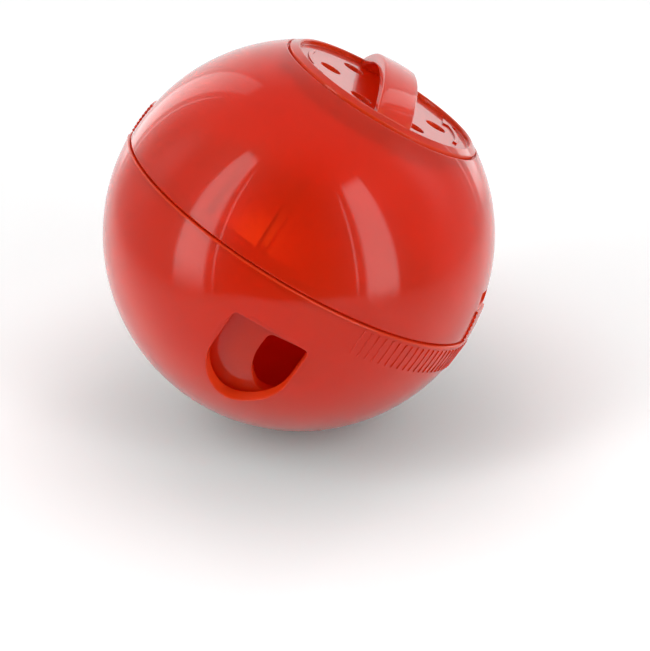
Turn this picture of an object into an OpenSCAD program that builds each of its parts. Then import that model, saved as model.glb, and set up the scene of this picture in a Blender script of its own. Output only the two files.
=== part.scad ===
// Treat ball for a cat: two halves that turn on each other to set the size of the windows, and a filler cap.
// The ball's axis is Z with the cap on top, and the origin is the ball's centre.
// Places round the axis are angles from -Y, the middle of the front window, turning from -Y towards +X.

/* [Ball] */
// Outside diameter of the ball, at its lower shell and over the strap
ball_d = 76; // [70:1:84]
// How far the upper shell stands back from the lower shell
seam_step = 0.4; // [0.2:0.1:0.8]
// Open height between the two shells at the seam
seam_gap = 0.5; // [0.4:0.1:1]
// Height of the lower shell's rim above the ball's middle
rim_z = 0.3; // [0.2:0.1:0.8]
// Rounding of the two edges at the seam
seam_ease = 0.3; // [0.1:0.1:0.4]

/* [Walls] */
// Wall of the lower shell
lower_wall = 2.3; // [2:0.1:2.8]
// Wall of the upper shell
upper_wall = 2.1; // [1.8:0.1:2.6]
// Wall of the shutter bowl
bowl_wall = 1.7; // [1.2:0.1:2.2]
// Clearance between pieces that turn or slide on each other
run_gap = 0.4; // [0.3:0.05:0.5]
// Clearance between pieces that stay put in use
fit_gap = 0.2; // [0.15:0.05:0.3]

/* [Windows] */
// Width of a window in the lower shell
window_w = 15.6; // [12:0.2:18]
// Height of a window in the lower shell
window_h = 20.6; // [17:0.2:22]
// Latitude of the middle of a window, below the seam
window_lat = 30; // [28:0.5:34]
// Width of a window in the shutter bowl
shutter_w = 14.8; // [12:0.2:18]
// Height of a window in the shutter bowl
shutter_h = 13.9; // [13:0.1:20]
// Latitude of the middle of a bowl window, below the seam
shutter_lat = 28.5; // [26:0.5:34]
// Upright part of a side of a lower shell window, above its taper
window_side = 8.75; // [3:0.25:9]
// Upright part of a side of a bowl window, above its taper
shutter_side = 2.4; // [2.2:0.1:4]
// Radius of a window's foot
foot_r = 4; // [3:0.25:5]
// Radius of a window's upper corners
corner_r = 1.2; // [0.6:0.1:2]

/* [Twist] */
// How far the bowl's windows stand turned from the lower shell's as drawn
shutter_turn = 13; // [0:0.5:26]
// Turn each way that the stops allow from the drawn position
twist_each_way = 13; // [8:0.5:16]
// Height of the lower shell's lip over the bead
lip_h = 1.2; // [1:0.1:1.8]
// Height of the bowl's bead ring
bead_h = 0.9; // [0.6:0.1:1.4]
// Reach of the bowl's bead ring into the lower shell's groove
bead_out = 1; // [0.6:0.1:1.2]
// Angle that a stop lug covers
stop_w = 7.7; // [5:0.1:10]
// Skin left outside the pocket of a stop lug
stop_skin = 0.6; // [0.5:0.05:0.7]

/* [Grip] */
// Fine upright ribs on each side of the lower shell
ribs = 24; // [8:1:24]
// Angle from one rib to the next
rib_pitch = 2.6; // [2:0.1:2.6]
// Angle from the middle of a window to the first rib
rib_start = 22.8; // [22:0.1:26]
// Width of a rib
rib_w = 0.45; // [0.3:0.05:0.7]
// Length of a rib
rib_l = 5.3; // [3:0.1:7]
// Height of a rib over the shell
rib_h = 0.12; // [0.1:0.02:0.3]
// Middle of a grip pad, from the front window
pad_at = 77.5; // [70:0.5:100]
// Angle that a grip pad covers
pad_w = 13; // [8:0.5:20]
// Height at which a grip pad ends
pad_top = 7; // [5:0.1:7]
// Grooves across a grip pad
pad_grooves = 5; // [3:1:5]
// Radius of a groove across a grip pad
groove_r = 0.35; // [0.2:0.05:0.4]

/* [Snap] */
// Height of a snap window's lower edge over its grip pad
snap_over = 0.4; // [0.2:0.1:1.6]
// Height of a snap window
snap_h = 3.2; // [2.5:0.1:4]
// How far a snap tab stays inside the upper shell's face
tab_inset = 0.7; // [0.4:0.1:1.2]
// Height of the bowl's rim over the ball's middle
bowl_rim_z = 2.6; // [1.5:0.1:4]
// Middle of a pair of guide ribs over the bowl's rim, from the front window
guide_at = -25; // [-60:0.5:20]
// Angle between the two guide ribs of a pair
guide_apart = 19; // [10:0.5:40]
// Width of a guide rib
guide_w = 1.8; // [1.2:0.1:2.4]
// Height at which a guide rib runs out into the wall
guide_top = 17.3; // [12:0.1:19]

/* [Cap] */
// Open gap round the cap
cap_gap = 0.35; // [0.3:0.05:0.6]
// Width of the cap's rim round its recessed face
cap_rim_w = 1.8; // [1.5:0.1:2.6]
// Depth of the cap's seat below the upper shell's face
seat_depth = 1; // [0.8:0.1:1.2]
// Diameter of the recessed face of the cap
face_d = 37.2; // [35:0.2:40]
// Depth of the recessed face below the cap's crest
recess = 1.2; // [0.8:0.1:1.5]
// Thickness of the cap's face
face_t = 1.8; // [1.4:0.1:2.2]
// Rounding of the cap's crest
crest_r = 0.35; // [0.3:0.05:0.7]
// How far the plug stands in from the edge of the recessed face
plug_inset = 0.8; // [0.6:0.1:1.4]
// Wall of the plug
plug_wall = 1.6; // [1.2:0.1:2]
// Length of the plug below the cap's seat
plug_l = 4.2; // [3.8:0.1:6]
// Reach of a bayonet lug beyond the plug
lug_out = 1.6; // [1:0.1:1.8]
// Height of a bayonet lug
lug_h = 1.2; // [0.8:0.1:1.4]
// Angle that a bayonet lug covers
lug_w = 22; // [14:1:30]
// Angle left free beside a bayonet lug in its notch
lug_side = 4; // [3:0.5:6]

/* [Face] */
// Turn of the strap from the front window
strap_turn = 4.3; // [-20:0.1:20]
// Width of the strap
strap_w = 7.2; // [5:0.2:9]
// Thickness of the strap
strap_t = 2.2; // [1.8:0.1:2.4]
// Diameter of a vent
vent_d = 4.2; // [2:0.1:4.6]
// Diameter of the circle of vents
vent_circle_d = 23.2; // [21:0.2:24]
// Number of vents
vents = 6; // [6:1:6]
// Angle that a turning mark covers
mark_w = 40; // [20:1:60]
// Width of the line of a turning mark
mark_line = 0.9; // [0.5:0.1:1.2]
// Height of a turning mark over the face
mark_h = 0.3; // [0.2:0.05:0.5]

/* [Hidden] */
$fn = 120;
red = [0.84, 0.16, 0.13];
deep_red = [0.70, 0.10, 0.09];
slack = 0.5;

lower_r = ball_d / 2;
lower_in = lower_r - lower_wall;
bowl_r = lower_in - run_gap;
bowl_in = bowl_r - bowl_wall;
upper_r = lower_r - seam_step;
upper_in = upper_r - upper_wall;
upper_z = rim_z + seam_gap;
spigot_r = min(upper_in - fit_gap, bowl_r);
spigot_in = spigot_r - bowl_wall;

groove_top = rim_z - lip_h;
groove_h = bead_h + 2 * run_gap;
bead_top = groove_top - run_gap;
bead_z = bead_top - bead_h;
bead_r = bowl_r + bead_out;
groove_out = bead_r + run_gap;
pocket_r = max(lower_r - stop_skin, groove_out);
stop_r = pocket_r - run_gap;
stop_margin = 1;
pocket_w = stop_w + 2 * (twist_each_way + stop_margin);

snap_z = pad_top + snap_over;
snap_gap_w = 2 * fit_gap / upper_r * 180 / PI;
tab_r = upper_r - tab_inset;
tongue_top = snap_z + snap_h + 1;
guide_x = height_on(upper_in, guide_top);

face_r = face_d / 2;
cap_r = face_r + cap_rim_w;
mouth_r = cap_r + cap_gap;
seat_z = height_on(upper_r, mouth_r) - seat_depth;
crest_x = face_r + crest_r;
crest_z = height_on(upper_r - crest_r, crest_x);
face_z = height_on(upper_r, face_r) - recess;
plug_r = face_r - plug_inset;
plug_z = seat_z - plug_l;
bore_r = plug_r + run_gap;
neck_z = plug_z + lug_h + run_gap;
neck_out = height_on(upper_in, neck_z) + slack;
strap_reach = face_r + 0.3;
strap_rise = lower_r - height_on(upper_r, face_r);
strap_r = (face_r * face_r + strap_rise * strap_rise) / (2 * strap_rise);
mark_r = (vent_circle_d + vent_d + face_d) / 4;

// Height over the ball's middle of a circle of radius r at the distance x from the axis
function height_on(r, x) = sqrt(r * r - x * x);

// The band of the half plane between two heights
module band(from, to) {
    translate([0, from])
        square([lower_r + 2, to - from]);
}

// Section of a spherical wall between two heights
module wall_section(outer, inner, from, to) {
    intersection() {
        difference() {
            circle(outer);
            circle(inner);
        }
        band(from, to);
    }
}

// A section swept round the axis over an angle, with its middle at a place
module sector(at, angle) {
    rotate([0, 0, at - 90 - angle / 2])
        rotate_extrude(angle = angle)
            children();
}

// The same thing at the front and at the back
module both_sides() {
    for (turn = [0, 180])
        rotate([0, 0, turn])
            children();
}

// Moves a flat outline onto the ball, at a place and a latitude below the seam
module on_ball(at, lat_below) {
    rotate([0, 0, at])
        rotate([90 + lat_below, 0, 0])
            children();
}

// Points on an arc from one angle to another
function arc(centre, r, from, to, steps) = [
    for (i = [0 : steps])
        let (a = from + (to - from) * i / steps)
            centre + r * [cos(a), sin(a)]
];

// Shield outline: straight top with round corners, upright sides that taper in, and a round foot
module shield(w, h, side) {
    drop = h - side - foot_r;
    side_r = (w * w / 4 + drop * drop - foot_r * foot_r) / (w - 2 * foot_r);
    inward = side_r - w / 2;
    foot_y = foot_r - h / 2;
    taper_y = foot_y + drop;
    shoulder = [w / 2 - corner_r, h / 2 - corner_r];
    meet = atan2(drop, inward);
    foot_step = (180 - 2 * meet) / 12;
    polygon(concat(
        arc([-inward, taper_y], side_r, -meet, 0, 10),
        arc(shoulder, corner_r, 0, 90, 5),
        arc([-shoulder[0], shoulder[1]], corner_r, 90, 180, 5),
        arc([inward, taper_y], side_r, 180, 180 + meet, 10),
        arc([0, foot_y], foot_r, 180 + meet + foot_step, 360 - meet - foot_step, 10)
    ));
}

// Cutter for a window, along the radius through its middle
module window(w, h, side, lat_below) {
    on_ball(0, lat_below)
        translate([0, 0, lower_r / 2])
            linear_extrude(lower_r)
                shield(w, h, side);
}

// Half section of the lower shell, with the groove under its lip and a rounded outer edge
module lower_section() {
    difference() {
        wall_section(lower_r, lower_in, -lower_r, rim_z);
        translate([0, groove_top - groove_h])
            square([groove_out, groove_h]);
        translate([lower_r - seam_ease, rim_z - seam_ease])
            square(slack);
    }
    translate([lower_r - seam_ease, rim_z - seam_ease])
        circle(seam_ease);
}

// Fine upright ribs of one side
module grip_ribs() {
    for (i = [0 : ribs - 1])
        on_ball(rib_start + i * rib_pitch, (rib_l + 1) / 2 / lower_r * 180 / PI)
            translate([-rib_w / 2, -rib_l / 2, lower_r - slack])
                cube([rib_w, rib_l, slack + rib_h]);
}

module lower_shell() {
    color(red)
        union() {
            difference() {
                rotate_extrude()
                    lower_section();
                both_sides() {
                    window(window_w, window_h, window_side, window_lat);
                    sector(strap_turn, pocket_w)
                        translate([lower_in - slack, groove_top - groove_h])
                            square([pocket_r - lower_in + slack, groove_h]);
                }
            }
            both_sides()
                grip_ribs();
        }
}

// Half section of the bowl: its sphere, the bead ring and the rim that stands in the upper shell
module bowl_section() {
    inner = min(bowl_in, spigot_in);
    wall_section(bowl_r, bowl_in, -bowl_r, bead_z + bead_h / 3);
    wall_section(spigot_r, spigot_in, bead_top - bead_h / 3, tongue_top);
    translate([inner, bead_z])
        square([bead_r - inner, bead_h]);
}

// Cutter that lowers the bowl's rim between its two snap tongues
module rim_cut() {
    sector(pad_at + 90, 180 - pad_w + 4 * snap_gap_w)
        translate([spigot_in / 2, bowl_rim_z])
            square([spigot_r, tongue_top]);
}

// Tab on a snap tongue, which stands in a snap window and hangs on its lower edge
module snap_tab() {
    sector(pad_at, pad_w - 2 * snap_gap_w)
        wall_section(tab_r, spigot_r - slack, snap_z, snap_z + snap_h - fit_gap);
}

module shutter_bowl() {
    color(deep_red)
        union() {
            difference() {
                rotate_extrude()
                    bowl_section();
                both_sides() {
                    rim_cut();
                    rotate([0, 0, shutter_turn])
                        window(shutter_w, shutter_h, shutter_side, shutter_lat);
                }
            }
            both_sides() {
                snap_tab();
                sector(strap_turn, stop_w)
                    translate([bowl_r - slack, bead_z])
                        square([stop_r - bowl_r + slack, bead_h]);
            }
        }
}

// Half section of the upper shell, with the neck that carries the cap's seat
module upper_section() {
    edge_x = height_on(upper_r, upper_z);
    difference() {
        union() {
            wall_section(upper_r, upper_in, upper_z, upper_r);
            translate([bore_r, neck_z])
                square([neck_out - bore_r, seat_z - neck_z]);
        }
        translate([0, seat_z])
            square([mouth_r, upper_r]);
        square([bore_r, upper_r]);
        translate([edge_x - seam_ease, upper_z - slack + seam_ease])
            square(slack);
    }
    translate([edge_x - seam_ease, upper_z + seam_ease])
        circle(seam_ease);
}

// Half section of a grip pad, flush with the lower shell and grooved across
module pad_section() {
    groove_step = (pad_top - upper_z) / (pad_grooves + 0.5);
    difference() {
        wall_section(lower_r, upper_r - slack, upper_z, pad_top);
        for (i = [0 : pad_grooves - 1])
            rotate(asin((upper_z + (i + 0.75) * groove_step) / lower_r))
                translate([lower_r, 0])
                    circle(groove_r, $fn = 24);
    }
}

// Upright rib inside the upper shell, which stands over the bowl's rim and runs out into the dome
module guide_rib() {
    intersection() {
        sphere(upper_in + slack);
        translate([-guide_w / 2, -lower_r, bowl_rim_z + fit_gap])
            cube([guide_w, lower_r - guide_x, lower_r]);
    }
}

module upper_shell() {
    color(red)
        union() {
            difference() {
                rotate_extrude()
                    upper_section();
                both_sides() {
                    sector(pad_at, pad_w)
                        translate([lower_r / 2, snap_z])
                            square([lower_r, snap_h]);
                    sector(strap_turn + 90, lug_w + 2 * lug_side)
                        translate([bore_r - slack, neck_z - slack])
                            square([lug_out + slack, seat_z - neck_z + 2 * slack]);
                }
            }
            both_sides() {
                sector(pad_at, pad_w)
                    pad_section();
                for (side = [-0.5, 0.5])
                    rotate([0, 0, guide_at + side * guide_apart])
                        guide_rib();
            }
        }
}

// Half section of the cap: rim with a rounded crest, recessed face and plug
module cap_section() {
    difference() {
        intersection() {
            circle(upper_r);
            translate([plug_r - plug_wall, seat_z])
                square([cap_r - plug_r + plug_wall, upper_r]);
        }
        translate([0, face_z])
            square([face_r, upper_r]);
        difference() {
            polygon([
                [crest_x, crest_z],
                [face_r - slack, crest_z],
                [face_r - slack, upper_r],
                [crest_x, crest_z] * upper_r / (upper_r - 2 * crest_r)
            ]);
            translate([crest_x, crest_z])
                circle(crest_r);
        }
    }
    translate([0, face_z - face_t])
        square([plug_r, face_t]);
    translate([plug_r - plug_wall, plug_z])
        square([plug_wall, face_z - face_t - plug_z + slack]);
}

// Strap that springs from the edge of the recess and reaches the ball's outside over its middle
module strap() {
    intersection() {
        translate([0, 0, lower_r - strap_r])
            difference() {
                sphere(strap_r);
                sphere(strap_r - strap_t);
            }
        translate([-strap_w / 2, -strap_reach, face_z - slack])
            cube([strap_w, 2 * strap_reach, lower_r]);
        cylinder(h = lower_r + 1, r = strap_reach);
    }
}

// Raised arc with an arrow head that shows which way the cap turns
module turning_mark() {
    head = 1.8 * mark_line;
    translate([0, 0, face_z - slack]) {
        sector(0, mark_w)
            translate([mark_r - mark_line / 2, 0])
                square([mark_line, mark_h + slack]);
        rotate([0, 0, mark_w / 2])
            translate([0, -mark_r, 0])
                linear_extrude(mark_h + slack)
                    polygon([[0, -head], [0, head], [2 * head, 0]]);
    }
}

module cap() {
    color(red)
        rotate([0, 0, strap_turn])
            difference() {
                union() {
                    rotate_extrude()
                        cap_section();
                    strap();
                    both_sides() {
                        sector(90, lug_w)
                            translate([plug_r - slack, plug_z])
                                square([lug_out + slack, lug_h]);
                        rotate([0, 0, 90])
                            turning_mark();
                    }
                }
                for (i = [0 : vents - 1])
                    rotate([0, 0, (i + 0.5) * 360 / vents])
                        translate([0, -vent_circle_d / 2, face_z - face_t - slack])
                            cylinder(h = face_t + 2 * slack, d = vent_d);
            }
}

lower_shell();
shutter_bowl();
upper_shell();
cap();
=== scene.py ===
"""Looks of the treat ball: four pieces of translucent red plastic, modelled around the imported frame."""

import logging
import math
from dataclasses import dataclass
from enum import Enum

import bpy
from mathutils import Matrix, Vector

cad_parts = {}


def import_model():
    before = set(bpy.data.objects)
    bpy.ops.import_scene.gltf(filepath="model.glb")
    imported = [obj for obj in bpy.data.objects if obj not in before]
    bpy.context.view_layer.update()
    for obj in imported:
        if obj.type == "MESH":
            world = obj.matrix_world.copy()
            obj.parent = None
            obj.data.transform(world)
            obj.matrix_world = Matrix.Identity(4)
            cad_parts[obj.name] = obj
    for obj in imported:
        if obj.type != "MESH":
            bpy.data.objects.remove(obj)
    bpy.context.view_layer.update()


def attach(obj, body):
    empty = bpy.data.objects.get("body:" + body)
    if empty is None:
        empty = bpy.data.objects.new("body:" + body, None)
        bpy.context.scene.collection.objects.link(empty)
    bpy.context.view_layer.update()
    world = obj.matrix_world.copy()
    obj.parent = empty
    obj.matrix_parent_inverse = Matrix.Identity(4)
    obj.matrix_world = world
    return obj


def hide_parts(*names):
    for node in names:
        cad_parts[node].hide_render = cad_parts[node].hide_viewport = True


LOG = logging.getLogger("treat_ball")
MM = 0.001
MERGE_M = 1e-6
TURNS = (0.0, 180.0)
FACET = 1.9  # degrees from one ring of a swept wall to the next
SIDES = 192  # faces round the axis
ROUNDING = 4  # edges in a rounded corner

Span = tuple[float, float]
Triple = tuple[float, float, float]
Corner = Triple
Colour = tuple[float, float, float, float]
Edge = list[tuple[Vector, Vector]]
Solid = bpy.types.Object


class Join(Enum):
    """Ways to put a tool and a piece together."""

    CARVE = "DIFFERENCE"
    WELD = "UNION"


class Zone(Enum):
    """Material slots of a piece; the second is a painted glow on cut walls, edges and gaps."""

    FACE = 0
    # painted glow: cut walls, edges and gaps drawn lighter and more orange
    CUT = 1
    NECK = 2


def height_on(radius: float, x: float) -> float:
    """Returns the height of a circle about the ball's centre at a distance from the axis."""
    return math.sqrt(radius * radius - x * x)


def heading(at: float) -> Vector:
    """Returns the level direction of a place, counted from -Y towards +X in degrees."""
    return Vector((math.sin(math.radians(at)), -math.cos(math.radians(at)), 0.0))


def meridian(radius: float, start: float, end: float) -> list[Corner]:
    """Lists points on a circle about the ball's centre.

    Args:
        radius: Radius of the circle in mm.
        start: Height of the first point in mm.
        end: Height of the last point in mm.

    Returns:
        Points as distance from the axis, height and rounding.
    """
    first = math.asin(start / radius)
    last = math.asin(end / radius)
    count = max(1, round(math.degrees(abs(last - first)) / FACET))
    angles = [first + (last - first) * i / count for i in range(count + 1)]
    return [(abs(radius * math.cos(a)), radius * math.sin(a), 0.0) for a in angles]


def eased(corners: list[Corner]) -> list[Vector]:
    """Rounds the corners of a closed outline.

    Args:
        corners: Corners with the radius of the rounding of each.

    Returns:
        The points of the rounded outline.
    """
    points: list[Vector] = []
    for i, (x, y, radius) in enumerate(corners):
        here = Vector((x, y))
        if radius <= 0.0:
            points.append(here)
            continue
        back = Vector(corners[i - 1][:2]) - here
        ahead = Vector(corners[(i + 1) % len(corners)][:2]) - here
        back.normalize()
        ahead.normalize()
        half = back.angle(ahead) / 2
        centre = here + (back + ahead).normalized() * (radius / math.sin(half))
        reach = radius / math.tan(half)
        first = here + back * reach - centre
        last = here + ahead * reach - centre
        for k in range(ROUNDING + 1):
            points.append(centre + first.slerp(last, k / ROUNDING).normalized() * radius)
    return points


def on_wall(radius: float, z: float, rounding: float = 0.0) -> Corner:
    """Returns the corner at a height on a circle about the ball's centre."""
    return height_on(radius, z), z, rounding


def wall_run(radius: float, *heights: float) -> list[Corner]:
    """Lists sharp corners on a circle about the ball's centre, one at each height."""
    return [on_wall(radius, z) for z in heights]


def band(inner: float, outer: float, low: float, high: float, rounding: float) -> list[Vector]:
    """Returns the outline of a low ring whose two outer corners are rounded."""
    return eased([(inner, low, 0), (outer, low, rounding), (outer, high, rounding), (inner, high, 0)])


def spun(angle: float) -> Matrix:
    """Returns a turn round the axis by an angle in degrees."""
    return Matrix.Rotation(math.radians(angle), 4, "Z")


def stand(outline: list[Vector], at: float) -> list[Vector]:
    """Stands an outline of distances and heights up in the plane of a place round the axis."""
    return [heading(at) * p.x + Vector((0.0, 0.0, p.y)) for p in outline]


class Bench:
    """Hand operations on meshes, done with Blender's own operators."""

    SHARP = 32.0  # degrees over which an edge stays sharp
    LEVEL = 0.99995  # share of a level face's normal that points up or down
    ON_SPHERE = 0.014  # mm that a corner may lie off its sphere
    FACING = 0.9985  # share of a face's normal that points along its sphere's radius

    @staticmethod
    def clear() -> None:
        """Goes to object mode and deselects everything."""
        if bpy.context.mode != "OBJECT":
            bpy.ops.object.mode_set(mode="OBJECT")
        bpy.ops.object.select_all(action="DESELECT")

    @staticmethod
    def take(obj: Solid) -> None:
        """Makes one object the only selected one."""
        Bench.clear()
        obj.select_set(True)
        bpy.context.view_layer.objects.active = obj

    @staticmethod
    def scrap(obj: Solid) -> None:
        """Removes an object and its mesh."""
        mesh = obj.data
        bpy.data.objects.remove(obj)
        bpy.data.meshes.remove(mesh)

    @staticmethod
    def seal(obj: Solid) -> None:
        """Merges doubles, fills open ends and points the faces outwards."""
        Bench.take(obj)
        bpy.ops.object.mode_set(mode="EDIT")
        bpy.ops.mesh.select_mode(type="VERT")
        bpy.ops.mesh.select_all(action="SELECT")
        bpy.ops.mesh.remove_doubles(threshold=MERGE_M)
        bpy.ops.mesh.delete_loose(use_verts=True, use_edges=True, use_faces=False)
        bpy.ops.mesh.select_all(action="DESELECT")
        bpy.ops.mesh.select_non_manifold()
        bpy.ops.mesh.fill_holes(sides=0)
        bpy.ops.mesh.select_all(action="SELECT")
        bpy.ops.mesh.normals_make_consistent(inside=False)
        bpy.ops.object.mode_set(mode="OBJECT")
        if Bench.volume(obj.data) < 0:
            bpy.ops.object.mode_set(mode="EDIT")
            bpy.ops.mesh.flip_normals()
            bpy.ops.object.mode_set(mode="OBJECT")

    @staticmethod
    def volume(mesh: bpy.types.Mesh) -> float:
        """Returns the volume of a closed mesh, below zero where its faces point inwards."""
        mesh.calc_loop_triangles()
        corners = [[mesh.vertices[v].co for v in tri.vertices] for tri in mesh.loop_triangles]
        return sum(a.dot(b.cross(c)) for a, b, c in corners) / 6

    @staticmethod
    def lathe(name: str, outline: list[Vector]) -> Solid:
        """Spins an outline of distances and heights round the axis.

        Args:
            name: Name of the new object.
            outline: Closed outline in mm. A run on the axis itself is left out.

        Returns:
            The new closed object.
        """
        Bench.clear()
        bpy.ops.mesh.primitive_circle_add(vertices=len(outline), radius=1.0, fill_type="NOTHING")
        obj = bpy.context.active_object
        obj.name = name
        for vert, point in zip(obj.data.vertices, stand(outline, 0.0)):
            vert.co = point * MM
        axis_edges = [
            edge.index for edge in obj.data.edges
            if all(math.hypot(*obj.data.vertices[v].co.xy) < MERGE_M for v in edge.vertices)
        ]
        bpy.ops.object.mode_set(mode="EDIT")
        bpy.ops.mesh.select_mode(type="EDGE")
        bpy.ops.mesh.select_all(action="DESELECT")
        bpy.ops.object.mode_set(mode="OBJECT")
        for index in axis_edges:
            obj.data.edges[index].select = True
        bpy.ops.object.mode_set(mode="EDIT")
        if axis_edges:
            bpy.ops.mesh.delete(type="EDGE")
        bpy.ops.mesh.select_all(action="SELECT")
        bpy.ops.mesh.spin(steps=SIDES, angle=math.tau, center=(0, 0, 0), axis=(0, 0, 1))
        bpy.ops.object.mode_set(mode="OBJECT")
        Bench.seal(obj)
        return obj

    @staticmethod
    def tube(name: str, rings: list[list[Vector]]) -> Solid:
        """Makes a closed body through rings of points, each with the same number of points in mm."""
        count = len(rings[0])
        Bench.clear()
        bpy.ops.mesh.primitive_grid_add(x_subdivisions=count, y_subdivisions=len(rings) - 1)
        obj = bpy.context.active_object
        obj.name = name
        for index, vert in enumerate(obj.data.vertices):
            row, column = divmod(index, count + 1)
            vert.co = rings[row][column % count] * MM
        Bench.seal(obj)
        return obj

    @staticmethod
    def sector(name: str, outline: list[Vector], at: float, angle: float) -> Solid:
        """Sweeps an outline of distances and heights round the axis over an angle.

        Args:
            name: Name of the new object.
            outline: Closed outline in mm.
            at: Place of the middle of the sweep in degrees.
            angle: Angle of the sweep in degrees.

        Returns:
            The new closed object.
        """
        count = max(2, round(angle / FACET))
        places = [at - angle / 2 + angle * i / count for i in range(count + 1)]
        return Bench.tube(name, [stand(outline, place) for place in places])

    @staticmethod
    def copies(obj: Solid, moves: list[Matrix]) -> Solid:
        """Replaces an object by one that joins its copies, one at each move."""
        made: list[Solid] = []
        for move in moves:
            twin = obj.copy()
            twin.data = obj.data.copy()
            twin.data.transform(move)
            bpy.context.collection.objects.link(twin)
            made.append(twin)
        Bench.scrap(obj)
        Bench.take(made[0])
        for twin in made[1:]:
            twin.select_set(True)
        bpy.ops.object.join()
        return bpy.context.active_object

    @staticmethod
    def both_sides(obj: Solid) -> Solid:
        """Repeats an object half a turn further round the axis."""
        return Bench.copies(obj, [spun(turn) for turn in TURNS])

    @staticmethod
    def combine(target: Solid, tool: Solid, how: Join) -> None:
        """Carves a tool out of a piece or welds it on, and clears the tool away."""
        Bench.take(target)
        modifier = target.modifiers.new("combine", "BOOLEAN")
        modifier.operation = how.value
        modifier.solver = "MANIFOLD"
        modifier.object = tool
        bpy.ops.object.modifier_apply(modifier=modifier.name)
        Bench.scrap(tool)

    @staticmethod
    def polish(obj: Solid, radii: tuple[float, ...]) -> None:
        """Smooths a piece and gives level faces and the faces on its spheres their true normals.

        Args:
            obj: The piece.
            radii: Radii of its spheres about the ball's centre in mm.
        """
        Bench.take(obj)
        bpy.ops.object.shade_smooth_by_angle(angle=math.radians(Bench.SHARP))
        mesh = obj.data
        normals = [corner.vector.copy() for corner in mesh.corner_normals]
        for poly in mesh.polygons:
            level = abs(poly.normal.z) > Bench.LEVEL
            spots = [mesh.vertices[v].co for v in poly.vertices]
            facing = poly.normal.dot(poly.center.normalized())
            on_sphere = any(all(abs(s.length / MM - r) < Bench.ON_SPHERE for s in spots) for r in radii)
            for loop, spot in zip(poly.loop_indices, spots):
                if level:
                    normals[loop] = poly.normal.copy()
                elif on_sphere and abs(facing) >= Bench.FACING:
                    normals[loop] = spot.normalized() * math.copysign(1.0, facing)
        mesh.normals_split_custom_set(normals)


@dataclass(frozen=True)
class Shield:
    """Outline of a window: straight top with round corners, sides that taper in, and a round foot."""

    width: float
    height: float
    side: float
    foot_r: float = 4.0
    corner_r: float = 1.2
    side_steps: int = 10
    corner_steps: int = 6
    foot_steps: int = 12
    ease_turns: tuple[int, ...] = (0, 20, 40, 60, 75)
    tool_in: float = 11.0
    tool_out: float = 3.0
    flare: float = 1.1
    flare_rise: float = 0.285

    @staticmethod
    def arc(centre: Vector, radius: float, start: float, end: float, steps: int) -> Edge:
        """Lists points of an arc with the outward direction at each.

        Args:
            centre: Centre of the arc.
            radius: Radius of the arc.
            start: Angle of the first point in degrees.
            end: Angle of the last point in degrees.
            steps: Number of edges.

        Returns:
            Pairs of a point and a direction.
        """
        angles = [math.radians(start + (end - start) * i / steps) for i in range(steps + 1)]
        ways = [Vector((math.cos(a), math.sin(a))) for a in angles]
        return [(centre + way * radius, way) for way in ways]

    def edge(self) -> Edge:
        """Lists the points of the outline, anticlockwise, with the outward direction at each."""
        drop = self.height - self.side - self.foot_r
        side_r = (self.width ** 2 / 4 + drop ** 2 - self.foot_r ** 2) / (self.width - 2 * self.foot_r)
        inward = side_r - self.width / 2
        foot_y = self.foot_r - self.height / 2
        taper_y = foot_y + drop
        meet = math.degrees(math.atan2(drop, inward))
        shoulder_x = self.width / 2 - self.corner_r
        shoulder_y = self.height / 2 - self.corner_r
        step = (180 - 2 * meet) / self.foot_steps
        start, end = 180 + meet + step, 360 - meet - step
        return (
            self.arc(Vector((-inward, taper_y)), side_r, -meet, 0, self.side_steps)
            + self.arc(Vector((shoulder_x, shoulder_y)), self.corner_r, 0, 90, self.corner_steps)
            + self.arc(Vector((-shoulder_x, shoulder_y)), self.corner_r, 90, 180, self.corner_steps)
            + self.arc(Vector((inward, taper_y)), side_r, 180, 180 + meet, self.side_steps)
            + self.arc(Vector((0, foot_y)), self.foot_r, start, end, self.foot_steps - 2)
        )

    def cutter(self, name: str, radius: float, at: float, lat_below: float, ease: float) -> Solid:
        """Makes the tool that cuts the window and rounds its outer edge.

        Args:
            name: Name of the tool.
            radius: Outer radius of the wall in mm.
            at: Place of the window in degrees.
            lat_below: Latitude of its middle below the seam in degrees.
            ease: Rounding of the edge in mm.

        Returns:
            The tool.
        """
        tilt = math.radians(lat_below)
        across = heading(at + 90)
        out = heading(at) * math.cos(tilt) - Vector((0, 0, math.sin(tilt)))
        up = heading(at) * math.sin(tilt) + Vector((0, 0, math.cos(tilt)))
        edge = self.edge()

        def ring(spread: float, sphere: float | None, level: float = 0.0) -> list[Vector]:
            """Returns the outline spread outwards, on a sphere or at a level."""
            points = []
            for point, way in edge:
                p = point + way * spread
                depth = math.sqrt(sphere ** 2 - p.length_squared) if sphere else level
                points.append(across * p.x + up * p.y + out * depth)
            return points

        rings = [ring(0, None, radius - self.tool_in)]
        for theta in self.ease_turns:
            turn = math.radians(theta)
            spread = ease * (1 - math.cos(turn))
            rings.append(ring(spread, radius - ease * (1 - math.sin(turn))))
        rings.append(ring(spread + self.flare, radius + self.flare_rise))
        rings.append(ring(spread + self.flare, None, radius + self.tool_out))
        return Bench.tube(name, rings)


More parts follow.
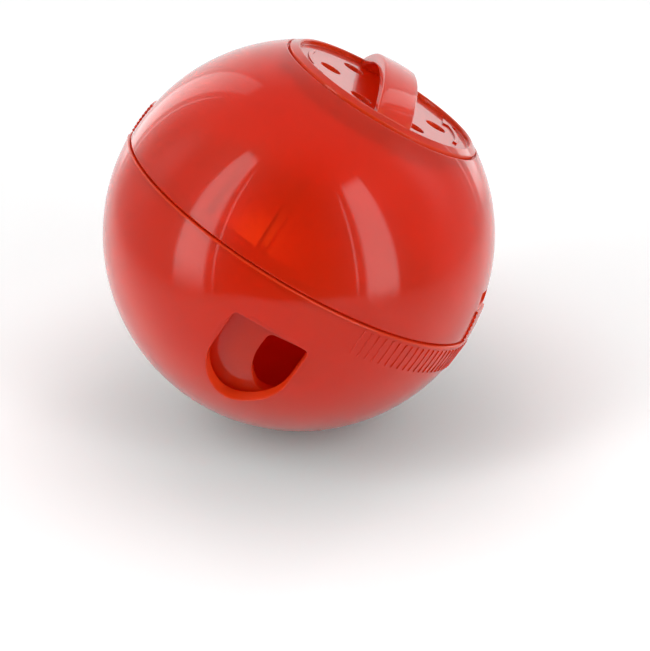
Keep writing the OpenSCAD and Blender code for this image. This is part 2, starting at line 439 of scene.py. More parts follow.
class Wire:
    """A value in a material: sums on it add Math nodes."""

    def __init__(self, board: "Board", socket: bpy.types.NodeSocket) -> None:
        """Keeps the board and the output socket."""
        self.board = board
        self.socket = socket

    def sum(self, operation: str, left: "Wire | float", right: "Wire | float") -> "Wire":
        """Adds a Math node."""
        return self.board.add("ShaderNodeMath", {"operation": operation}, {0: left, 1: right})

    def __add__(self, other: "Wire | float") -> "Wire":
        """Adds."""
        return self.sum("ADD", self, other)

    def __sub__(self, other: "Wire | float") -> "Wire":
        """Subtracts."""
        return self.sum("SUBTRACT", self, other)

    def __rsub__(self, other: float) -> "Wire":
        """Subtracts from a number."""
        return self.sum("SUBTRACT", other, self)

    def __mul__(self, other: "Wire | float") -> "Wire":
        """Multiplies."""
        return self.sum("MULTIPLY", self, other)

    def maximum(self, other: "Wire | float") -> "Wire":
        """Takes the larger value."""
        return self.sum("MAXIMUM", self, other)

    __radd__ = __add__
    __rmul__ = __mul__


class Board:
    """The nodes of a material, a lamp or the world."""

    def __init__(self, owner: bpy.types.Material | bpy.types.World | bpy.types.Light) -> None:
        """Empties the owner's nodes."""
        owner.use_nodes = True
        self.tree = owner.node_tree
        self.tree.nodes.clear()

    def add(self, kind: str, settings: dict, inputs: dict, out: int | str = 0) -> Wire:
        """Adds a node.

        Args:
            kind: Type of the node.
            settings: Properties that are set first.
            inputs: Values or wires by socket.
            out: Output that is returned.

        Returns:
            The chosen output.
        """
        node = self.tree.nodes.new(kind)
        for key, value in settings.items():
            setattr(node, key, value)
        for key, value in inputs.items():
            if isinstance(value, Wire):
                self.tree.links.new(value.socket, node.inputs[key])
            else:
                node.inputs[key].default_value = value
        return Wire(self, node.outputs[out] if node.outputs else None)

    def mix(self, factor: Wire, first: Colour, second: Colour) -> Wire:
        """Blends two colours."""
        return self.add("ShaderNodeMix", {"data_type": "RGBA"}, {0: factor, 6: first, 7: second}, 2)

    def ease(self, value: Wire, start: float, end: float) -> Wire:
        """Returns a smooth step from 0 at the start to 1 at the end."""
        return self.add("ShaderNodeMapRange", {"interpolation_type": "SMOOTHSTEP"},
                        {"Value": value, "From Min": start, "From Max": end})


@dataclass(frozen=True)
class RedPlastic:
    """Translucent moulded plastic with a clear gloss."""

    name: str
    deep: Colour
    light: Colour
    clear: float
    haze: float = 0.34
    bend: float = 1.2
    flow_scale: float = 55.0
    rub_scale: float = 420.0
    rub_spread: float = 0.03
    grain_scale: float = 1900.0
    grain_depth: float = 0.00006
    gloss_haze: float = 0.035
    gloss_bend: float = 1.3

    def material(self) -> bpy.types.Material:
        """Makes the material.

        Returns:
            The material, with slow colour flow, a faint moulded grain and rubbed gloss.
        """
        material = bpy.data.materials.new(self.name)
        board = Board(material)
        place = board.add("ShaderNodeTexCoord", {}, {}, "Object")
        flow, rub, grain = (
            board.add("ShaderNodeTexNoise", {}, {"Vector": place, "Scale": scale, "Detail": detail}, "Fac")
            for scale, detail in ((self.flow_scale, 2.0), (self.rub_scale, 5.0), (self.grain_scale, 3.0))
        )
        colour = board.mix(flow, self.deep, self.light)
        relief = {"Height": grain, "Strength": 0.05, "Distance": self.grain_depth}
        bump = board.add("ShaderNodeBump", {}, relief, "Normal")
        shader = board.add("ShaderNodeBsdfPrincipled", {}, {
            "Base Color": colour,
            "Roughness": self.haze - self.rub_spread + 2 * self.rub_spread * rub,
            "IOR": self.bend,
            "Specular IOR Level": 0.5,
            "Transmission Weight": self.clear,
            "Coat Weight": 0.8 + 0.2 * flow,
            "Coat Roughness": self.gloss_haze,
            "Coat IOR": self.gloss_bend,
            "Normal": bump,
        })
        board.add("ShaderNodeOutputMaterial", {}, {"Surface": shader})
        return material


@dataclass(frozen=True)
class Finishes:
    """The plastics of the ball, with a painted glow on cut edges and painted shade on the bowl."""

    shell: RedPlastic = RedPlastic(
        "shell_red", (0.95, 0.036, 0.002, 1.0), (0.98, 0.056, 0.004, 1.0), clear=0.66)
    # Darker red than the shell: painted shade, so that the bowl seen through the windows looks shaded.
    bowl: RedPlastic = RedPlastic(
        "bowl_red_painted_shade", (0.82, 0.034, 0.002, 1.0), (0.88, 0.052, 0.004, 1.0), clear=0.66)
    cap: RedPlastic = RedPlastic(
        "cap_red", (0.90, 0.030, 0.002, 1.0), (0.95, 0.046, 0.004, 1.0), clear=0.45)
    # Lighter, more orange and less clear red: a painted glow for light through thin edges, also lifting the
    # shade in gaps.
    cut: RedPlastic = RedPlastic(
        "cut_edge_painted_glow_red", (0.88, 0.05, 0.006, 1.0), (0.92, 0.072, 0.01, 1.0), clear=0.3, haze=0.45)
    neck: RedPlastic = RedPlastic(
        "neck_red", (0.95, 0.036, 0.002, 1.0), (0.98, 0.056, 0.004, 1.0), clear=0.92, bend=1.03)


@dataclass(frozen=True)
class Ball:
    """Sizes in mm that the pieces share."""

    lower_r: float = 38.0
    lower_in: float = 35.7
    upper_r: float = 37.6
    upper_in: float = 35.5
    bowl_r: float = 35.3
    bowl_in: float = 33.6
    rim_z: float = 0.3
    upper_z: float = 0.55
    groove_z: Span = (-2.6, -0.9)
    bead_z: Span = (-2.2, -1.3)
    bead_r: float = 36.3
    stop_r: float = 37.0
    pocket_r: float = 37.4
    strap_turn: float = 4.3
    pad_at: float = 77.5
    pad_w: float = 13.0
    snap_z: Span = (7.4, 10.6)
    bowl_rim_z: float = 2.6
    bore_r: float = 18.2
    mouth_r: float = 20.75
    seat_depth: float = 1.0
    lug_w: float = 22.0

    @property
    def seat_z(self) -> float:
        """Height of the cap's seat in the mouth."""
        return height_on(self.upper_r, self.mouth_r) - self.seat_depth


class Piece:
    """A moulded piece that stands for a node of the frame."""

    node: str
    body: str
    slot: str

    def dress(self, obj: Solid, finishes: tuple[bpy.types.Material, ...]) -> None:
        """Gives the piece its finishes and fixes it to the frame.

        Args:
            obj: The finished mesh object.
            finishes: Finish of each zone, in the order of Zone.
        """
        obj.data.materials.clear()
        for finish in finishes:
            obj.data.materials.append(finish)
        for poly in obj.data.polygons:
            poly.material_index = self.zone(poly.center / MM, poly.normal).value
        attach(obj, self.body)
        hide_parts(self.node)
        LOG.info("%s: %d faces", obj.name, len(obj.data.polygons))

    @staticmethod
    def across(centre: Vector, normal: Vector) -> bool:
        """Tells whether a face runs through the wall and not along it."""
        return abs(normal.dot(centre.normalized())) < 0.7

    def zone(self, centre: Vector, normal: Vector) -> Zone:
        """Tells which finish a face takes, from its middle in mm and its normal."""
        return Zone.FACE


@dataclass
class LowerShell(Piece):
    """Outer lower half with two windows, a groove under its lip and fine ribs below the seam."""

    ball: Ball = Ball()
    window: Shield = Shield(15.6, 20.6, 8.75)
    window_lat: float = 30.0
    window_ease: float = 0.3
    groove_out: float = 36.7
    pocket_w: float = 35.7
    ribs: int = 24
    rib_pitch: float = 2.6
    rib_start: float = 22.8
    rib_size: Triple = (0.45, 5.3, 0.12)
    rib_sunk: float = 0.6
    rib_ease: float = 0.1
    # Reach of the painted glow on the rim, and the height under which window walls take it.
    rim_band: float = 0.35
    edge_glow_below: float = -6.5
    node: str = "lower_shell"
    body: str = "lower"
    slot: str = "shell"

    def outline(self) -> list[Vector]:
        """Returns the half section of the shell."""
        b = self.ball
        low, high = b.groove_z
        return eased(
            meridian(b.lower_in, -b.lower_in, low)
            + [(self.groove_out, low, 0.1), (self.groove_out, high, 0.1)]
            + [on_wall(b.lower_in, high, 0.12), on_wall(b.lower_in, b.rim_z, 0.2)]
            + [on_wall(b.lower_r, b.rim_z, 0.3)]
            + meridian(b.lower_r, -1.2, -b.lower_r)
        )

    def rib_row(self) -> Solid:
        """Models one rib and copies it along both rows."""
        width, length, rise = self.rib_size
        depth = rise + self.rib_sunk
        Bench.clear()
        bpy.ops.mesh.primitive_cube_add(size=1.0)
        rib = bpy.context.active_object
        rib.data.transform(Matrix.Diagonal((width * MM, length * MM, depth * MM, 1.0)))
        bpy.ops.object.mode_set(mode="EDIT")
        bpy.ops.mesh.select_mode(type="FACE")
        bpy.ops.mesh.select_all(action="DESELECT")
        bpy.ops.object.mode_set(mode="OBJECT")
        for poly in rib.data.polygons:
            poly.select = poly.normal.z > 0.9
        bpy.ops.object.mode_set(mode="EDIT")
        bpy.ops.mesh.bevel(offset=self.rib_ease * MM, segments=2, affect="EDGES")
        bpy.ops.object.mode_set(mode="OBJECT")
        rib.data.transform(Matrix.Translation((0, 0, (self.ball.lower_r + rise - depth / 2) * MM)))
        lat_below = math.degrees((length + 1) / 2 / self.ball.lower_r)
        upright = Matrix.Rotation(math.radians(90 + lat_below), 4, "X")
        places = [turn + self.rib_start + i * self.rib_pitch for turn in TURNS for i in range(self.ribs)]
        return Bench.copies(rib, [spun(place) @ upright for place in places])

    def build(self) -> Solid:
        """Models the shell.

        Returns:
            The finished object.
        """
        b = self.ball
        low, high = b.groove_z
        shell = Bench.lathe("shell_lower", self.outline())
        Bench.combine(shell, self.rib_row(), Join.WELD)
        cutter = self.window.cutter("window", b.lower_r, 0.0, self.window_lat, self.window_ease)
        Bench.combine(shell, Bench.both_sides(cutter), Join.CARVE)
        pocket = band(b.lower_in - 0.5, b.pocket_r, low + 0.02, high - 0.02, 0.1)
        tool = Bench.sector("pocket", pocket, b.strap_turn, self.pocket_w)
        Bench.combine(shell, Bench.both_sides(tool), Join.CARVE)
        Bench.polish(shell, (b.lower_r, b.lower_in))
        return shell

    def zone(self, centre: Vector, normal: Vector) -> Zone:
        """Puts the painted glow finish on the walls of the windows and on the rim at the seam."""
        rim = centre.z > self.ball.rim_z - self.rim_band
        window = centre.z < self.edge_glow_below and self.across(centre, normal)
        return Zone.CUT if rim or window else Zone.FACE


@dataclass
class ShutterBowl(Piece):
    """Inner bowl with its own windows, a bead ring, stop lugs and two snap tongues."""

    ball: Ball = Ball()
    window: Shield = Shield(14.8, 13.9, 2.4)
    window_at: float = 13.0
    window_lat: float = 28.5
    window_ease: float = 0.25
    stop_w: float = 7.7
    tab_r: float = 36.9
    tongue_top: float = 11.6
    tongue_w: float = 10.56
    tongue_in: float = 0.02
    tongue_steps: Triple = (4.0, 6.5, 9.0)
    tab_w: float = 11.78
    # Reach of the painted glow on window walls, snap tabs and the band behind the seam.
    edge_glow_below: float = -6.0
    tab_from: float = 6.0
    tab_out: float = 35.5
    seam_band: Span = (0.0, 1.2)
    seam_out: float = 35.0
    node: str = "shutter_bowl"
    body: str = "upper"
    slot: str = "bowl"

    def outline(self) -> list[Vector]:
        """Returns the half section of the bowl with its bead ring."""
        b = self.ball
        low, high = b.bead_z
        return eased(
            meridian(b.bowl_in, -b.bowl_in, b.bowl_rim_z - 1.0)
            + [on_wall(b.bowl_in, b.bowl_rim_z, 0.3), on_wall(b.bowl_r, b.bowl_rim_z, 0.3)]
            + wall_run(b.bowl_r, 0.6, high)
            + [(b.bead_r, high, 0.2), (b.bead_r, low, 0.2)]
            + meridian(b.bowl_r, low, -b.bowl_r)
        )

    def tongue(self) -> Solid:
        """Models a snap tongue with its tab, on both sides."""
        b = self.ball
        low, high = b.snap_z
        foot = b.bowl_rim_z - 1.0
        inner = b.bowl_in + self.tongue_in
        outer = b.bowl_r - self.tongue_in
        spring = eased(
            wall_run(inner, foot, *self.tongue_steps)
            + [on_wall(inner, self.tongue_top, 0.3), on_wall(outer, self.tongue_top, 0.4)]
            + wall_run(outer, *reversed(self.tongue_steps), foot)
        )
        root = height_on(b.bowl_r, high) - 0.6
        tab_top = high - 0.2
        tab = eased([
            (root, low, 0), on_wall(self.tab_r, low, 0.15),
            on_wall(self.tab_r, tab_top, 0.3), (root, tab_top, 0),
        ])
        body = Bench.sector("tongue", spring, b.pad_at, self.tongue_w)
        Bench.combine(body, Bench.sector("tab", tab, b.pad_at, self.tab_w), Join.WELD)
        return Bench.both_sides(body)

    def build(self) -> Solid:
        """Models the bowl.

        Returns:
            The finished object.
        """
        b = self.ball
        low, high = b.bead_z
        bowl = Bench.lathe("bowl_shutter", self.outline())
        Bench.combine(bowl, self.tongue(), Join.WELD)
        stop = band(b.bowl_r - 0.6, b.stop_r, low + 0.01, high - 0.01, 0.2)
        lug = Bench.sector("stop", stop, b.strap_turn, self.stop_w)
        Bench.combine(bowl, Bench.both_sides(lug), Join.WELD)
        cutter = self.window.cutter("shutter", b.bowl_r, self.window_at, self.window_lat, self.window_ease)
        Bench.combine(bowl, Bench.both_sides(cutter), Join.CARVE)
        Bench.polish(bowl, (b.bowl_r, b.bowl_in))
        return bowl

    def zone(self, centre: Vector, normal: Vector) -> Zone:
        """Puts the painted glow finish on the walls of the windows, on the snap tabs and behind the seam."""
        low, high = self.seam_band
        tab = centre.z > self.tab_from and centre.length > self.tab_out
        seam = low < centre.z < high and centre.length > self.seam_out
        window = centre.z < self.edge_glow_below and self.across(centre, normal)
        return Zone.CUT if tab or seam or window else Zone.FACE


@dataclass
class UpperShell(Piece):
    """Upper half with the filler mouth, grip pads, snap windows and guide ribs inside."""

    ball: Ball = Ball()
    neck_z: float = 27.76
    lug_out: float = 1.6
    lug_side: float = 4.0
    pad_top: float = 7.0
    pad_grooves: int = 7
    groove_r: float = 0.22
    guide_at: float = -25.0
    guide_apart: float = 19.0
    guide_w: float = 1.8
    guide_top: float = 17.3
    guide_ease: float = 0.15
    guide_steps: tuple[float, ...] = (16.0, 13.5, 10.5, 7.0)
    snap_in: float = 30.0
    snap_flare: float = 0.45
    # Reach of the painted glow round the snap windows.
    snap_band: float = 0.6
    node: str = "upper_shell"
    body: str = "upper"
    slot: str = "shell"

    def outline(self) -> list[Vector]:
        """Returns the half section of the shell with its neck."""
        b = self.ball
        return eased(
            [on_wall(b.upper_r, b.upper_z, 0.3)]
            + meridian(b.upper_r, 2.0, height_on(b.upper_r, b.mouth_r + 0.9))
            + [(b.mouth_r, height_on(b.upper_r, b.mouth_r), 0.25)]
            + [(b.mouth_r, b.seat_z, 0.1), (b.bore_r, b.seat_z, 0.25), (b.bore_r, self.neck_z, 0.25)]
            + [on_wall(b.upper_in, self.neck_z)]
            + meridian(b.upper_in, self.neck_z - 1.0, 2.0)
            + [on_wall(b.upper_in, b.upper_z, 0.15)]
        )

    def pad(self) -> Solid:
        """Models a grooved grip pad, on both sides."""
        b = self.ball
        step = (self.pad_top - b.upper_z) / (self.pad_grooves + 0.5)
        corners: list[Corner] = [(b.upper_r - 0.8, b.upper_z + 0.2, 0)]
        corners.append(on_wall(b.lower_r, b.upper_z + 0.05, 0.15))
        for i in range(self.pad_grooves):
            middle = b.upper_z + (i + 0.75) * step
            for rise, sunk in ((-1.0, 0.0), (-0.75, 0.66), (0.0, 1.0), (0.75, 0.66), (1.0, 0.0)):
                z = middle + rise * self.groove_r
                corners.append((height_on(b.lower_r, z) - sunk * self.groove_r, z, 0))
        corners += [on_wall(b.lower_r, self.pad_top, 0.15), on_wall(b.upper_r - 0.8, self.pad_top)]
        return Bench.both_sides(Bench.sector("pad", eased(corners), b.pad_at, b.pad_w))

    def guides(self) -> Solid:
        """Models the guide ribs, which stand over the bowl's rim and run out into the dome."""
        b = self.ball
        inner = height_on(b.upper_in, self.guide_top)
        foot = b.bowl_rim_z + 0.2
        wall = b.upper_in + 0.5
        outline = eased(
            [(inner, foot, 0.3), (inner, height_on(wall, inner), 0)]
            + wall_run(wall, *self.guide_steps, foot)
        )
        half = self.guide_w / 2
        ease = self.guide_ease
        rings = []
        for shift, inset in ((-half, ease), (ease - half, 0.0), (half - ease, 0.0), (half, ease)):
            rings.append([Vector((shift, -max(p.x, inner + inset), p.y)) for p in outline])
        rib = Bench.tube("guide", rings)
        places = [turn + self.guide_at + side * self.guide_apart for turn in TURNS for side in (-0.5, 0.5)]
        return Bench.copies(rib, [spun(place) for place in places])

    def build(self) -> Solid:
        """Models the shell.

        Returns:
            The finished object.
        """
        b = self.ball
        shell = Bench.lathe("shell_upper", self.outline())
        Bench.combine(shell, self.pad(), Join.WELD)
        Bench.combine(shell, self.guides(), Join.WELD)
        low, high = b.snap_z
        outer = b.upper_r
        inner = self.snap_in
        flare = self.snap_flare
        hole = eased([
            (inner, low, 0), (height_on(outer, low) - 0.2, low, 0.3), (outer + 1, low - flare, 0),
            (outer + 1, high + flare, 0), (height_on(outer, high) - 0.2, high, 0.3), (inner, high, 0),
        ])
        snap = Bench.sector("snap", hole, b.pad_at, b.pad_w)
        Bench.combine(shell, Bench.both_sides(snap), Join.CARVE)
        notch = band(b.bore_r - 0.5, b.bore_r + self.lug_out, self.neck_z - 0.5, b.seat_z + 0.5, 0.0)
        gap = Bench.sector("notch", notch, b.strap_turn + 90, b.lug_w + 2 * self.lug_side)
        Bench.combine(shell, Bench.both_sides(gap), Join.CARVE)
        Bench.polish(shell, (b.upper_r, b.upper_in))
        return shell

    def zone(self, centre: Vector, normal: Vector) -> Zone:
        """Puts the painted glow finish on snap windows, seam edge and mouth, and a clearer one on the neck.
        """
        b = self.ball
        low, high = b.snap_z
        level = low - self.snap_band < centre.z < high + self.snap_band
        snap = level and centre.length > 35 and self.across(centre, normal)
        edge = centre.z < b.upper_z + 0.15
        mouth = centre.z > b.seat_z - 0.05 and math.hypot(*centre.xy) < b.mouth_r + 0.15
        if centre.z > self.neck_z - 0.2 and centre.length < b.upper_in - 0.02:
            return Zone.NECK
        return Zone.CUT if snap or edge or mouth else Zone.FACE


@dataclass
class FillerCap(Piece):
    """Cap with a rim, a recessed vented face, a plug with lugs, turning marks and a strap."""

    ball: Ball = Ball()
    cap_r: float = 20.4
    face_r: float = 18.6
    crest_r: float = 0.35
    recess: float = 1.2
    face_t: float = 1.8
    plug_r: float = 17.8
    plug_wall: float = 1.6
    plug_l: float = 4.2
    lug_out: float = 1.6
    lug_h: float = 1.2
    strap_w: float = 7.2
    strap_t: float = 2.2
    strap_ease: float = 0.35
    strap_steps: int = 40
    vent_r: float = 2.1
    vent_circle_r: float = 11.6
    vents: int = 6
    vent_sides: int = 48
    vent_edge: tuple[Span, ...] = ((-0.12, 0.0), (-0.04, 0.03), (0.0, 0.1), (0.4, 0.6))
    mark_w: float = 40.0
    mark_line: float = 0.9
    mark_h: float = 0.3
    node: str = "cap"
    body: str = "cap"
    slot: str = "cap"

    @property
    def face_z(self) -> float:
        """Height of the recessed face."""
        return height_on(self.ball.upper_r, self.face_r) - self.recess

    def outline(self) -> list[Vector]:
        """Returns the half section of the cap without its strap."""
        b = self.ball
        under = self.face_z - self.face_t
        plug_z = b.seat_z - self.plug_l
        plug_in = self.plug_r - self.plug_wall
        rim = [(x, height_on(b.upper_r, x), 0) for x in (self.cap_r - 0.5, self.face_r + 0.75)]
        inner_rings = (12, 6, 0)
        return eased(
            [(x, under, 0) for x in reversed(inner_rings)]
            + [(plug_in, under, 0.3), (plug_in, plug_z, 0.3), (self.plug_r, plug_z, 0.4)]
            + [(self.plug_r, b.seat_z, 0.2), (self.cap_r, b.seat_z, 0.15)]
            + [(self.cap_r, height_on(b.upper_r, self.cap_r), 0.25)]
            + rim
            + [(self.face_r, height_on(b.upper_r, self.face_r), self.crest_r)]
            + [(self.face_r, self.face_z, 0.15)]
            + [(x, self.face_z, 0) for x in inner_rings]
        )

    def strap(self) -> Solid:
        """Models the strap, an arched band with rounded edges that springs from the edge of the recess."""
        b = self.ball
        rise = b.lower_r - height_on(b.upper_r, self.face_r)
        top = (self.face_r ** 2 + rise ** 2) / (2 * rise)
        foot = top - self.strap_t
        base = Vector((0, 0, b.lower_r - top))
        half = self.strap_w / 2
        inset = half - 1.2
        ease = self.strap_ease
        outside = ((-half, ease), (-inset, 0), (0, 0), (inset, 0), (half, ease))
        inside = ((half, ease), (0, 0), (-half, ease))
        section = eased(
            [(x, height_on(top, x), rounding) for x, rounding in outside]
            + [(x, height_on(foot, x), rounding) for x, rounding in inside]
        )
        reach = math.asin((self.face_r + 0.35) / (foot + 1.0))
        rings = []
        for i in range(self.strap_steps + 1):
            swing = reach * (2 * i / self.strap_steps - 1)
            lean, tall = math.sin(swing), math.cos(swing)
            rings.append([base + Vector((p.x, p.y * lean, p.y * tall)) for p in section])
        return Bench.tube("strap", rings)

    def mark(self) -> Solid:
        """Models a raised arc with an arrow head, on both sides."""
        middle = (self.vent_circle_r + self.vent_r + self.face_r) / 2
        low = self.face_z - 0.5
        high = self.face_z + self.mark_h
        half = self.mark_line / 2
        line = eased([
            (middle - half, low, 0), (middle + half, low, 0),
            (middle + half, high, 0.12), (middle - half, high, 0.12),
        ])
        arc = Bench.sector("mark", line, 90.0, self.mark_w)
        head = 1.8 * self.mark_line
        out = heading(90 + self.mark_w / 2)
        along = heading(180 + self.mark_w / 2)
        tip = [
            out * middle + out * side * head + along * ahead * head
            for side, ahead in ((-1, -0.05), (1, -0.05), (0, 2))
        ]
        rings = [[p + Vector((0, 0, z)) for p in tip] for z in (low, high)]
        Bench.combine(arc, Bench.tube("head", rings), Join.WELD)
        return Bench.both_sides(arc)

    def vent_tools(self) -> Solid:
        """Models the tool for the vents, with a rounded upper edge."""
        under = self.face_z - self.face_t - 0.6
        levels = [(under, 0.0)] + [(self.face_z + rise, spread) for rise, spread in self.vent_edge]
        ways = [heading(i * 360 / self.vent_sides) for i in range(self.vent_sides)]
        rings = []
        for z, spread in levels:
            middle = Vector((0, -self.vent_circle_r, z))
            rings.append([middle + way * (self.vent_r + spread) for way in ways])
        vent = Bench.tube("vent", rings)
        return Bench.copies(vent, [spun((i + 0.5) * 360 / self.vents) for i in range(self.vents)])

    def build(self) -> Solid:
        """Models the cap and turns it to its place.

        Returns:
            The finished object.
        """
        b = self.ball
        plug_z = b.seat_z - self.plug_l
        cap = Bench.lathe("filler_cap", self.outline())
        lug = band(self.plug_r - 0.5, self.plug_r + self.lug_out, plug_z + 0.01, plug_z + self.lug_h, 0.2)
        Bench.combine(cap, Bench.both_sides(Bench.sector("lug", lug, 90.0, b.lug_w)), Join.WELD)
        Bench.combine(cap, self.strap(), Join.WELD)
        Bench.combine(cap, self.mark(), Join.WELD)
        Bench.combine(cap, self.vent_tools(), Join.CARVE)
        cap.data.transform(spun(b.strap_turn))
        Bench.polish(cap, (b.upper_r,))
        return cap

    def zone(self, centre: Vector, normal: Vector) -> Zone:
        """Puts the painted glow finish on the rim's inner wall and outer edge and on the walls of the vents.
        """
        upright = abs(normal.z) < 0.6 and centre.z > self.face_z - self.face_t + 0.05
        away = math.hypot(*centre.xy)
        wall = -0.2 < away - self.face_r < self.crest_r and centre.z > self.face_z + 0.05
        side = away > self.cap_r - 0.25
        vent = upright and abs(away - self.vent_circle_r) < self.vent_r + 0.2 and centre.z < self.face_z
        return Zone.CUT if wall or side or vent else Zone.FACE


@dataclass
class Studio:
    """Camera, floor, lamps and surroundings. The ball leans on the floor as it was set down."""

    eye: Triple = (-68.73, -510.42, 134.56)
    right: Triple = (0.86302, 0.00752, 0.50511)
    up: Triple = (-0.48148, 0.31483, 0.81796)
    back: Triple = (-0.15287, -0.94912, 0.27532)
    focal_px: float = 2758.68
    image_h: int = 651
    sensor: float = 36.0
    floor_up: Triple = (-0.4934, -0.2019, 0.8460)
    floor_away: Triple = (-0.1083, 0.9794, 0.1705)
    floor_sides: Span = (-210.0, 190.0)
    floor_reach: Span = (-340.0, 270.0)
    floor_fade: float = 120.0
    tint_reach: Span = (0.0, 62.0)
    # Distances from the foot over which the floor's glow rises; the dimmer glow nearer the ball is a painted
    # shadow.
    painted_shadow_reach: Span = (30.0, 75.0)
    tinted: Colour = (0.6, 0.95, 0.95, 1.0)
    plain: Colour = (0.96, 0.97, 0.97, 1.0)
    white: Colour = (1.0, 1.0, 1.0, 1.0)
    # Floor glow near the ball and its rise further out; the low glow near the ball is a painted shadow.
    floor_glow: Span = (0.04, 0.2)
    room_glow: Span = (0.55, 0.5)
    lamp_distance: float = 0.5
    front_span: Span = (-0.1, 0.75)
    backdrop_span: Span = (-0.3, -0.95)
    ball_r: float = 38.0

    @staticmethod
    def turn(right: Vector, up: Vector, back: Vector) -> Matrix:
        """Returns the matrix of an object that faces along minus back."""
        return Matrix((right, up, back)).transposed().to_4x4()

    def camera(self) -> None:
        """Adds the camera."""
        data = bpy.data.cameras.new("camera")
        data.sensor_fit = "VERTICAL"
        data.sensor_height = self.sensor
        data.lens = self.focal_px * self.sensor / self.image_h
        data.clip_start = 0.01
        obj = bpy.data.objects.new("camera", data)
        bpy.context.collection.objects.link(obj)
        turned = self.turn(Vector(self.right), Vector(self.up), Vector(self.back))
        obj.matrix_world = Matrix.Translation(Vector(self.eye) * MM) @ turned
        bpy.context.scene.camera = obj

    def floor(self) -> None:
        """Adds a pale floor, seen from above only, with a painted cyan tint near the ball against the red
        light there, and a painted shadow: its glow is dimmer near the ball.
        """
        up = Vector(self.floor_up).normalized()
        away = Vector(self.floor_away)
        Bench.clear()
        bpy.ops.mesh.primitive_plane_add(size=1.0)
        obj = bpy.context.active_object
        obj.name = "floor"
        left, right = self.floor_sides
        near, far = self.floor_reach
        sized = Matrix.Diagonal(((right - left) * MM, (far - near) * MM, 1.0, 1.0))
        placed = Matrix.Translation(Vector(((left + right) / 2, (near + far) / 2, -self.ball_r)) * MM)
        obj.data.transform(self.turn(away.cross(up).normalized(), away, up) @ placed @ sized)
        material = bpy.data.materials.new("floor_white")
        board = Board(material)
        seen = self.seen(board)
        place = board.add("ShaderNodeTexCoord", {}, {}, "Object")
        foot = tuple(-self.ball_r * MM * up)
        apart = board.add("ShaderNodeVectorMath", {"operation": "DISTANCE"}, {0: place, 1: foot}, "Value")
        untinted, painted_shadow_fade = (
            board.ease(apart, start * MM, end * MM) for start, end in (self.tint_reach, self.painted_shadow_reach)
        )
        colour = board.mix(untinted, self.tinted, self.plain)
        matt = board.add("ShaderNodeBsdfDiffuse", {}, {"Color": colour})
        least, more = self.floor_glow
        # Glow least near the ball's foot and rising outwards: a painted shadow round the ball.
        glow = seen * (least + more * painted_shadow_fade)
        lift = board.add("ShaderNodeEmission", {}, {"Color": self.white, "Strength": glow})
        lit = board.add("ShaderNodeAddShader", {}, {0: matt, 1: lift})
        clear = board.add("ShaderNodeBsdfTransparent", {}, {})
        behind = board.add("ShaderNodeNewGeometry", {}, {}, "Backfacing")
        spot = board.add("ShaderNodeTexCoord", {}, {}, "UV")
        shares = (self.floor_fade / (right - left), self.floor_fade / (far - near))
        whole = self.fading(board, spot, shares)
        shader = board.add("ShaderNodeMixShader", {}, {0: whole * (1.0 - behind), 1: clear, 2: lit})
        board.add("ShaderNodeOutputMaterial", {}, {"Surface": shader})
        obj.data.materials.append(material)

    @staticmethod
    def seen(board: Board) -> Wire:
        """Returns 1 for rays that show a surface in the picture: direct, mirrored or through the plastic."""
        camera, mirrored, through = (
            board.add("ShaderNodeLightPath", {}, {}, f"Is {kind} Ray")
            for kind in ("Camera", "Glossy", "Transmission")
        )
        return camera.maximum(mirrored).maximum(through)

    @staticmethod
    def fading(board: Board, spot: Wire, shares: Span) -> Wire:
        """Returns 1 inside a square from 0 to 1, and less towards its edges.

        Args:
            board: Nodes that it is added to.
            spot: Place in the square.
            shares: Shares of the width and of the height over which it fades.

        Returns:
            The level.
        """
        level = 1.0
        for axis, share in zip("XY", shares):
            edge = board.add("ShaderNodeSeparateXYZ", {}, {0: spot}, axis)
            for start, end in ((0.0, share), (1.0, 1.0 - share)):
                level = level * board.ease(edge, start, end)
        return level

    def lamp(self, name: str, azimuth: float, half_angle: float, rise: Span, glow: float,
             fade: float) -> None:
        """Adds an upright soft box whose light fades towards its edges.

        Args:
            name: Name of the lamp.
            azimuth: Place round the ball, from the camera towards the picture's right, in degrees.
            half_angle: Half of the angle that its width covers from the ball, in degrees.
            rise: Angles over the level of the ball's middle to its foot and to its top, in degrees.
            glow: Brightness of its face.
            fade: Share of its width and height over which the light fades.
        """
        distance = self.lamp_distance
        up = Vector(self.floor_up).normalized()
        away = Vector(self.floor_away)
        turn = math.radians(azimuth)
        back = away.cross(up).normalized() * math.sin(turn) - away * math.cos(turn)
        foot, top = (distance * math.tan(math.radians(angle)) for angle in rise)
        data = bpy.data.lights.new(name, "AREA")
        data.shape = "RECTANGLE"
        data.size = 2 * distance * math.tan(math.radians(half_angle))
        data.size_y = top - foot
        data.energy = glow * math.pi * data.size * data.size_y
        board = Board(data)
        spot = board.add("ShaderNodeNewGeometry", {}, {}, "Parametric")
        light = board.add("ShaderNodeEmission", {}, {"Strength": self.fading(board, spot, (fade, fade))})
        board.add("ShaderNodeOutputLight", {}, {"Surface": light})
        obj = bpy.data.objects.new(name, data)
        bpy.context.collection.objects.link(obj)
        middle = back * distance + up * ((foot + top) / 2)
        obj.matrix_world = Matrix.Translation(middle) @ self.turn(up.cross(back), up, back)
        obj.visible_camera = False

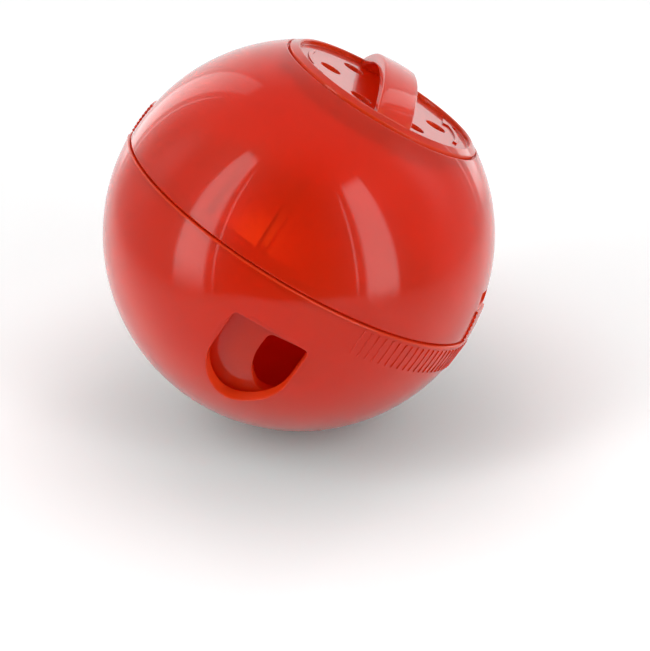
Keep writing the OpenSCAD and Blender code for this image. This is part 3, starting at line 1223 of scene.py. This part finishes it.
    def lamps(self) -> None:
        """Adds four tall soft boxes, each with a thin strip beside it, and three dim walls of light."""
        for row in (
            ("left_box", -62, 11.5, (-18, 65), 4.8, 0.16),
            ("left_strip", -47, 1.0, (-18, 60), 3.5, 0.3),
            ("right_box", 46, 11.0, (-20, 53), 4.8, 0.16),
            ("right_strip", 31.5, 1.0, (-18, 50), 3.5, 0.3),
            ("left_back_box", -151, 7.5, (-20, 54), 1.2, 0.12),
            ("left_back_strip", -140, 0.8, (-18, 45), 1.5, 0.3),
            ("right_back_box", 139, 7.0, (-16, 54), 2.0, 0.12),
            ("right_back_strip", 127, 0.8, (-16, 45), 1.8, 0.3),
            ("left_wall", -108, 15.0, (-5, 50), 0.6, 0.5),
            ("right_wall", 98, 15.0, (-5, 50), 0.8, 0.5),
            ("back_wall", 174, 27.0, (-8, 58), 0.15, 0.05),
        ):
            self.lamp(*row)

    def world(self) -> None:
        """Makes the surroundings: white behind the ball and to the camera, and dim in front of the ball."""
        world = bpy.data.worlds.new("studio")
        bpy.context.scene.world = world
        board = Board(world)
        place = board.add("ShaderNodeTexCoord", {}, {}, "Generated")
        toward = board.add(
            "ShaderNodeVectorMath", {"operation": "DOT_PRODUCT"},
            {0: place, 1: tuple(-Vector(self.floor_away))}, "Value",
        )
        front = board.ease(toward, *self.front_span)
        backdrop = board.ease(toward, *self.backdrop_span)
        camera_ray = board.add("ShaderNodeLightPath", {}, {}, "Is Camera Ray")
        room, dimmed = self.room_glow
        level = camera_ray.maximum(self.seen(board) * backdrop).maximum(room - dimmed * front)
        back = board.add("ShaderNodeBackground", {}, {"Color": self.white, "Strength": level})
        board.add("ShaderNodeOutputWorld", {}, {"Surface": back})

    def build(self) -> None:
        """Sets up the whole studio."""
        self.camera()
        self.floor()
        self.lamps()
        self.world()
        bpy.context.scene.view_settings.view_transform = "Standard"


def main() -> None:
    logging.basicConfig(level=logging.INFO, format="%(message)s")
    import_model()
    finishes = Finishes()
    # The cut-edge finish is a painted glow.
    cut = finishes.cut.material()
    shell = finishes.shell.material()
    for piece, looks in (
        (LowerShell(), (shell, cut)),
        (ShutterBowl(), (finishes.bowl.material(), cut)),
        (UpperShell(), (shell, cut, finishes.neck.material())),
        (FillerCap(), (finishes.cap.material(), cut)),
    ):
        piece.dress(piece.build(), looks)
    Studio().build()


if __name__ == "__main__":
    main()
